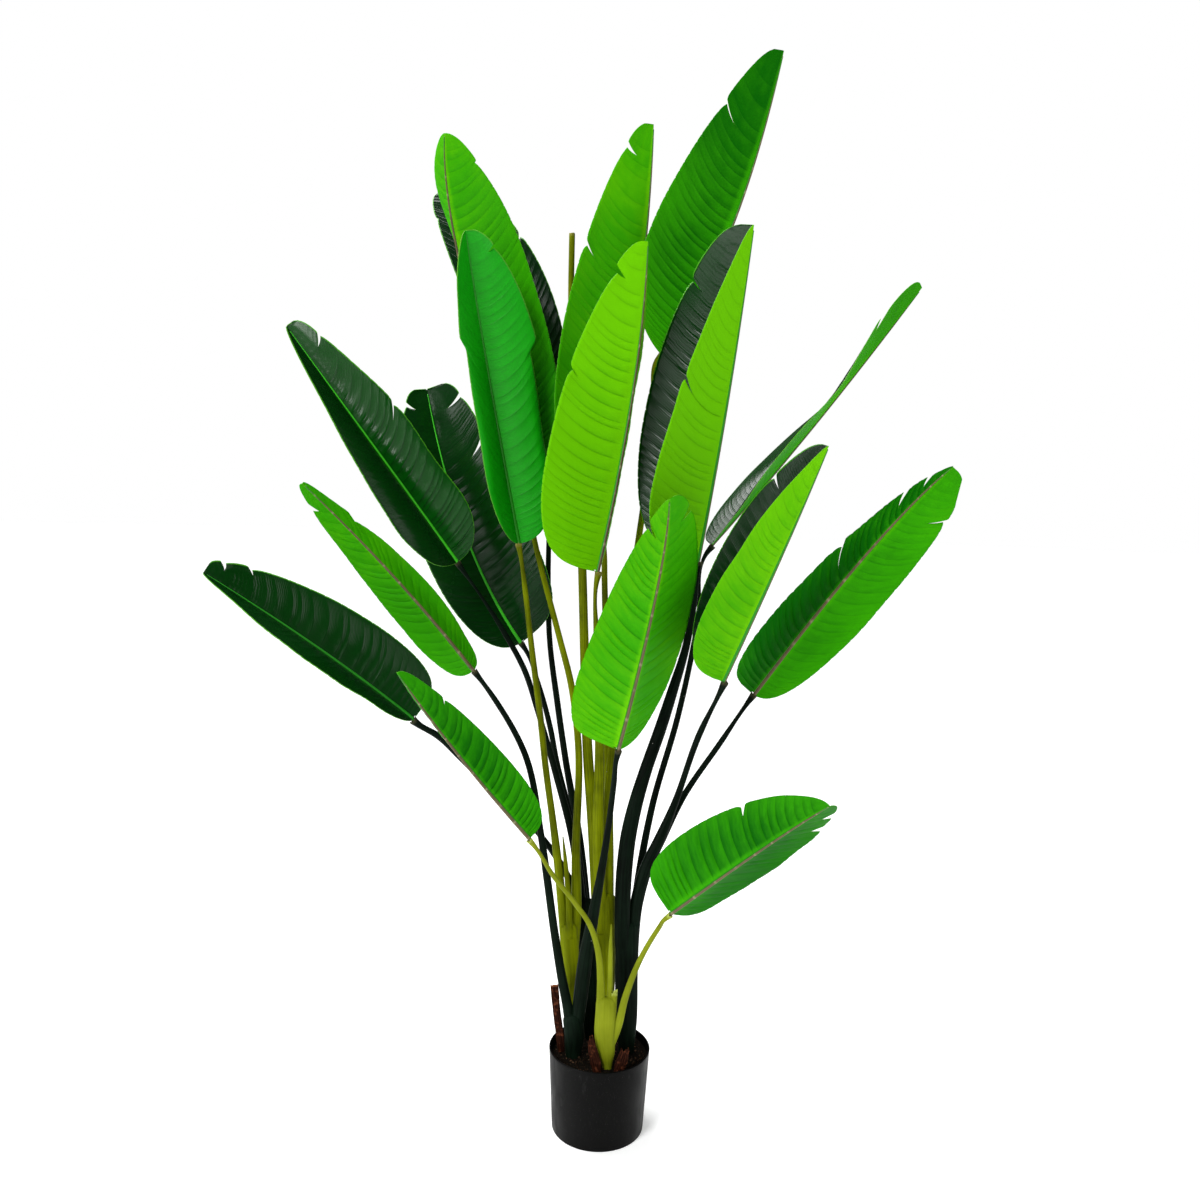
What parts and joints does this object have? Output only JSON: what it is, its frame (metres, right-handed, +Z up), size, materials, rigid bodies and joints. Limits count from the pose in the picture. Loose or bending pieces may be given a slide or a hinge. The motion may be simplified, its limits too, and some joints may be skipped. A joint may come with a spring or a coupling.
{
  "type": "potted banana plant",
  "caption": "Tall artificial banana plant with paddle-shaped leaves on long stems, standing in a small round black pot of soil.",
  "frame": {"origin": "centre of the pot's flat bottom", "axes": "+Z up, -Y towards the viewer of the front, +X to the front viewer's right"},
  "size_m": [1.1501, 0.622, 1.8003],
  "materials": {
    "black_plastic": "satin",
    "cement": "matte",
    "potting_soil": "matte",
    "light_stem": "satin",
    "olive_stem": "satin",
    "dark_stem": "satin",
    "leaf_green": "satin",
    "dry_bark": "matte"
  },
  "bodies": {
    "root": {"pot": "black_plastic", "cement_plug": "cement", "soil": "potting_soil", "trunk_front": "light_stem", "trunk_left": "dark_stem", "trunk_back": "dark_stem", "trunk_right": "dark_stem", "trunk_olive_left": "olive_stem", "trunk_olive_centre": "olive_stem", "leaf_top_right": "leaf_green", "leaf_top_centre": "leaf_green", "leaf_top_left": "leaf_green", "leaf_top_left_rear": "leaf_green", "leaf_upper_left": "leaf_green", "leaf_centre": "leaf_green", "leaf_upper_right": "leaf_green", "leaf_right_rear": "leaf_green", "leaf_mid_right": "leaf_green", "leaf_far_right": "leaf_green", "leaf_front": "leaf_green", "leaf_low_right": "leaf_green", "leaf_far_left": "leaf_green", "leaf_mid_left": "leaf_green", "leaf_lower_left": "leaf_green", "leaf_left_rear": "leaf_green", "leaf_low_left": "leaf_green", "husk_left": "dry_bark", "husk_centre": "dry_bark", "husk_right": "dry_bark"}
  },
  "joints": []
}
